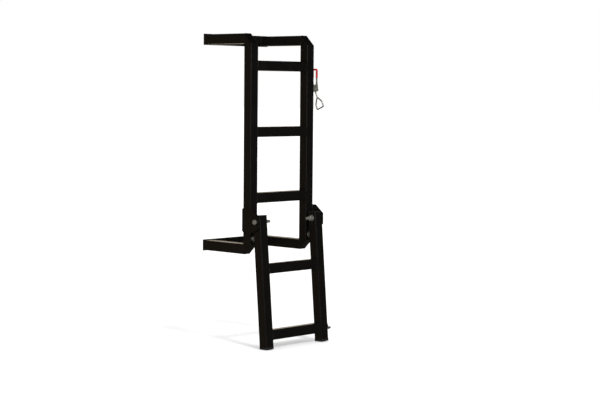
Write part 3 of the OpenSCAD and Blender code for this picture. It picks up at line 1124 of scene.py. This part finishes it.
    def link(self) -> None:
        """Bends the draw rod and welds its delta ring."""
        lean = math.radians(self.lean)
        down = Vector((0, -math.sin(lean), -math.cos(lean)))
        aside = Vector((0, -math.cos(lean), math.sin(lean)))
        swivel = Vector((self.x, self.y, self.z + self.crank))
        bend = swivel + Vector((0, 0, -8))
        apex = bend + down * self.shank
        rod_path = rounded_path([swivel + Vector((0, 0, 9)), bend, apex - down * 1.0], 9.0)
        rod = tube_along(rod_path, self.wire, sides=20)
        ring, shoulder, reach = self.ring_length, 0.5 * self.ring_length, self.ring_width / 2
        places = ((0.6, 3.4), (0.6, -3.4), (shoulder, -0.94 * reach))
        places += ((ring, -reach), (ring, reach), (shoulder, 0.94 * reach))
        corners = [apex + down * fall + aside * over for fall, over in places]
        loop = tube_along(rounded_path(corners, 4.2, True), self.wire, True, sides=20)
        collar = tube_along(
            [apex + down * fall for fall in (-3.5, -1.5, 0.5, 2.0)],
            lambda run: 3.4 - 0.25 * abs(run - 3.0),
            sides=16,
        )
        nut = (hexagon(8.0, 2.6, both=True), self.pivot @ at(0, 0, self.crank + 5.6))
        parts = [(rod, HERE), (loop, HERE), (collar, HERE), nut]
        publish("draw_rod_and_ring", parts, Body.LINK, ZINC_PLATE, "draw_link")


# -------- lower section


@dataclass
class LowerSection:
    """The folding section: welds, caps, feet and the latch's catch plate."""

    sizes: Sizes = SIZES
    welds: WeldShop = field(default_factory=WeldShop)
    cap: float = 3.5
    pad: float = 8.0
    plug_half: float = 17.9
    cap_plug: float = 15.0
    foot_plug: float = 22.0
    lap: float = 1.3
    sheet: float = 2.0

    def build(self) -> None:
        """Makes every piece of the lower section that Blender adds."""
        self.rung_welds()
        for side in Side:
            self.leg_cap(side)
            self.foot(side)
        self.catch()

    def rung_welds(self) -> None:
        """Welds the two lower rungs between the legs."""
        s = self.sizes
        inner = s.leg_x - s.half
        for name, drop in zip(("fourth", "bottom"), s.lower_rungs):
            ends = [
                (self.welds.round_tube(side.value * inner, 0, drop, s.half), s.leg_frame)
                for side in Side
            ]
            publish(f"{name}_rung_welds", ends, Body.LOWER, POWDER_COAT, crease=WELD_CREASE)

    def moulded(
        self, side: Side, what: str, blocks: Sequence[tuple[Point3, Point3, float]]
    ) -> None:
        """Moulds a rubber part of a leg.

        Args:
            side: The leg's side.
            what: The part's name in its CAD node.
            blocks: Low corner, high corner and rounding of each block, from the leg's axis.
        """
        place = self.sizes.leg_frame @ at(side.value * self.sizes.leg_x, 0, 0)
        node = f"{side}_{what}"
        parts = [(block(*shape), place) for shape in blocks]
        publish(f"{node}_moulded", parts, Body.LOWER, MOULDED_RUBBER, node)

    def leg_cap(self, side: Side) -> None:
        """Moulds the cap in the upper end of a leg, its crown slightly rounded."""
        half, plug, top = self.sizes.half, self.plug_half, self.sizes.leg_above
        under = top - self.cap
        head = ((-half, -half, under), (half, half, top), 1.2)
        stem = ((-plug, -plug, top - self.cap_plug), (plug, plug, under + self.lap), 1.0)
        self.moulded(side, "leg_cap", [head, stem])

    def foot(self, side: Side) -> None:
        """Moulds a foot: a pad with a ribbed sole and a plug up the leg."""
        half, plug, low = self.sizes.half, self.plug_half, -self.sizes.leg_below
        rib, rib_width, rib_pitch, top = 2.0, 4.6, 8.85, low + self.pad
        pad = ((-half, -half, low + rib), (half, half, top), 1.2)
        stem = ((-plug, -plug, top - self.lap), (plug, plug, top + self.foot_plug), 1.0)
        ribs = [
            ((-half, y, low), (half, y + rib_width, low + rib + 1.4), 0.6)
            for y in (-half + rib_pitch * k for k in range(5))
        ]
        self.moulded(side, "foot", [pad, stem, *ribs])

    def catch(self) -> None:
        """Bends the catch plate's hook from strip and rivets it to the right leg."""
        s = self.sizes
        latch = Latch()
        play, lip, wide, t = 1.4, 7.0, 13.0, self.sheet
        shelf, deep = -latch.wire, 2 * latch.wire + 2 * play
        bar = latch.ring_bar(s.leg_x + s.half + t + play + latch.wire)
        turn = Matrix.Rotation(math.radians(-latch.lean), 4, "X")
        hook = at(s.leg_x + s.half, s.pivot_y - bar.y, s.pivot_z - bar.z)
        place = s.leg_frame @ hook @ turn
        out = 2 * t + deep
        under = shelf - t
        outline = [(0, 30 + shelf), (0, under + 1.2), (0.4, under + 0.4), (1.2, under)]
        outline += [(out - 1.2, under), (out - 0.4, under + 0.4), (out, under + 1.2)]
        outline += [(out, shelf + lip), (out - t, shelf + lip), (out - t, shelf + 0.6)]
        outline += [(out - t - 0.6, shelf), (t + 0.6, shelf), (t, shelf + 0.6), (t, 30 + shelf)]
        strip = [(plate(outline, wide, 0.35), place @ at(0, -wide / 2, 0) @ FACE_ON)]
        publish("catch_plate_bent", strip, Body.LOWER, ZINC_PLATE, "catch_plate")
        heads = [(rivet_head(4.8, 2.1), place @ at(t, 0, u) @ ALONG_X) for u in (12.0, 24.0)]
        publish("catch_rivet_heads", heads, Body.LOWER, ZINC_PLATE, "catch_rivets")


# -------- studio


@dataclass
class Studio:
    """Plain floor, soft light and the camera."""

    floor_z: float = -0.3899
    focal_mm: float = 97.13
    camera_at: Point3 = (-4.6497, -4.7920, 0.6315)
    yaw: float = 46.449
    pitch: float = -3.895
    roll: float = 0.477
    even: float = 1.03
    key_from: Point3 = (-0.079, -0.338, 0.325)
    key_energy: float = 1.5
    key_angle: float = 10.0
    soft_at: Point3 = (-3.4, -3.5, 1.1)
    soft_aim: Point3 = (0.0, -0.15, 0.3)
    soft_energy: float = 50.0
    soft_size: float = 1.6
    # Direction, cosine at which it has faded, and colour of each glow that gloss reflects
    patches: tuple[tuple[Point3, float, Point3], ...] = (
        ((0.0, 0.0, -1.0), -1.0, (0.09, 0.083, 0.068)),
        ((0.72, 0.69, 0.0), 0.8, (1.15, 1.0, 0.8)),
        ((-0.72, 0.69, 0.0), 0.6, (0.085, 0.05, 0.02)),
    )

    def build(self) -> None:
        """Makes the floor, the lights, the surroundings and the camera."""
        self.floor()
        self.surroundings()
        self.lights()
        self.camera()
        bpy.context.scene.view_settings.view_transform = "Standard"

    def floor(self) -> None:
        """Lays a pale floor."""
        bm = bmesh.new()
        bmesh.ops.create_grid(bm, x_segments=1, y_segments=1, size=60)
        bmesh.ops.translate(bm, verts=bm.verts, vec=(0, 0, self.floor_z))
        mesh = bpy.data.meshes.new("studio_floor")
        bm.to_mesh(mesh)
        bm.free()
        made = bpy.data.materials.new("pale_studio_floor")
        made.use_nodes = True
        shader = made.node_tree.nodes["Principled BSDF"]
        shader.inputs["Base Color"].default_value = linear("F3F3F3")
        shader.inputs["Roughness"].default_value = 0.85
        shader.inputs["Specular IOR Level"].default_value = 0.0
        mesh.materials.append(made)
        ground = bpy.data.objects.new("studio_floor", mesh)
        ground.visible_glossy = False
        bpy.context.scene.collection.objects.link(ground)

    def glow(
        self, tree: bpy.types.NodeTree, aim: bpy.types.NodeSocket,
        towards: Point3, reach: float, colour: Point3,
    ) -> bpy.types.NodeSocket:
        """Paints a soft patch of light on the room.

        Args:
            tree: The world's node tree.
            aim: Direction that is looked in.
            towards: Direction of the patch's middle.
            reach: Cosine at which the patch has faded out.
            colour: Linear colour of its middle.

        Returns:
            The patch's colour.
        """
        near = add_node(tree, "VectorMath", {"operation": "DOT_PRODUCT"}, {0: aim})
        near.inputs[1].default_value = Vector(towards).normalized()
        fade = {"interpolation_type": "SMOOTHSTEP", "From Min": reach, "From Max": 1.0}
        share = add_node(tree, "MapRange", fade, {"Value": near.outputs["Value"]})
        lit = add_node(
            tree, "VectorMath", {"operation": "SCALE"}, {"Scale": share.outputs["Result"]}
        )
        lit.inputs[0].default_value = colour
        return lit.outputs["Vector"]

    def surroundings(self) -> None:
        """Shows white beyond the floor, lights it evenly, and keeps the room dim for gloss."""
        world = bpy.data.worlds.new("studio")
        bpy.context.scene.world = world
        world.use_nodes = True
        world.cycles.sampling_method = "NONE"
        tree = world.node_tree
        tree.nodes.clear()
        path = add_node(tree, "LightPath")
        aim = add_node(tree, "TexCoord").outputs["Generated"]
        room, *others = (self.glow(tree, aim, *patch) for patch in self.patches)
        for patch in others:
            both = add_node(tree, "VectorMath", {"operation": "ADD"}, {0: room, 1: patch})
            room = both.outputs["Vector"]
        gloss = add_node(tree, "Background", {"Strength": 1.0}, {"Color": room})
        shown = gloss.outputs["Background"]
        for ray, strength in (("Is Diffuse Ray", self.even), ("Is Camera Ray", 1.0)):
            white = add_node(tree, "Background", {"Color": (1, 1, 1, 1), "Strength": strength})
            feeds = {0: path.outputs[ray], 1: shown, 2: white.outputs["Background"]}
            shown = add_node(tree, "MixShader", links=feeds).outputs["Shader"]
        add_node(tree, "OutputWorld", links={"Surface": shown})

    def lights(self) -> None:
        """Hangs the key light in front on the right and a small softbox beside the camera."""
        key = bpy.data.lights.new("key", "SUN")
        key.energy = self.key_energy
        key.angle = math.radians(self.key_angle)
        soft = bpy.data.lights.new("front_softbox", "AREA")
        soft.shape = "RECTANGLE"
        soft.size = soft.size_y = self.soft_size
        soft.energy = self.soft_energy
        soft_at = Vector(self.soft_at)
        for light, place, back in (
            (key, Vector(), Vector(self.key_from)),
            (soft, soft_at, soft_at - Vector(self.soft_aim)),
        ):
            lamp = bpy.data.objects.new(light.name, light)
            lamp.location = place
            lamp.rotation_euler = back.to_track_quat("Z", "Y").to_euler()
            bpy.context.scene.collection.objects.link(lamp)

    def camera(self) -> None:
        """Aims the camera by yaw, pitch and roll, in degrees."""
        yaw, pitch, roll = (math.radians(a) for a in (self.yaw, self.pitch, self.roll))
        flat = Vector((math.sin(yaw), math.cos(yaw), 0))
        level = Vector((math.cos(yaw), -math.sin(yaw), 0))
        ahead = flat * math.cos(pitch) + Vector((0, 0, math.sin(pitch)))
        above = level.cross(ahead)
        right = level * math.cos(roll) + above * math.sin(roll)
        up = above * math.cos(roll) - level * math.sin(roll)
        lens = bpy.data.cameras.new("camera")
        lens.lens = self.focal_mm
        lens.sensor_width = 36.0
        lens.clip_end = 200
        camera = bpy.data.objects.new("camera", lens)
        basis = Matrix((right, up, -ahead)).transposed().to_4x4()
        camera.matrix_world = at(*self.camera_at) @ basis
        bpy.context.scene.collection.objects.link(camera)
        bpy.context.scene.camera = camera


def dress_frame() -> None:
    """Gives every CAD node the finish of its material slot."""
    slots = {row["node"]: row["material_slot"] for row in frame["record"]["subparts"]}
    for name, node in frame["nodes"].items():
        made = FINISH_OF_SLOT[Slot(slots[name])].material()
        for holder in node.material_slots:
            holder.material = made
        log.info("%s: dressed in %s", name, made.name)


def main() -> None:
    """Builds the studio and every sub-assembly."""
    Studio().build()
    dress_frame()
    UpperFrame().build()
    Hardware().build()
    Latch().build()
    LowerSection().build()


if __name__ == "__main__":
    main()
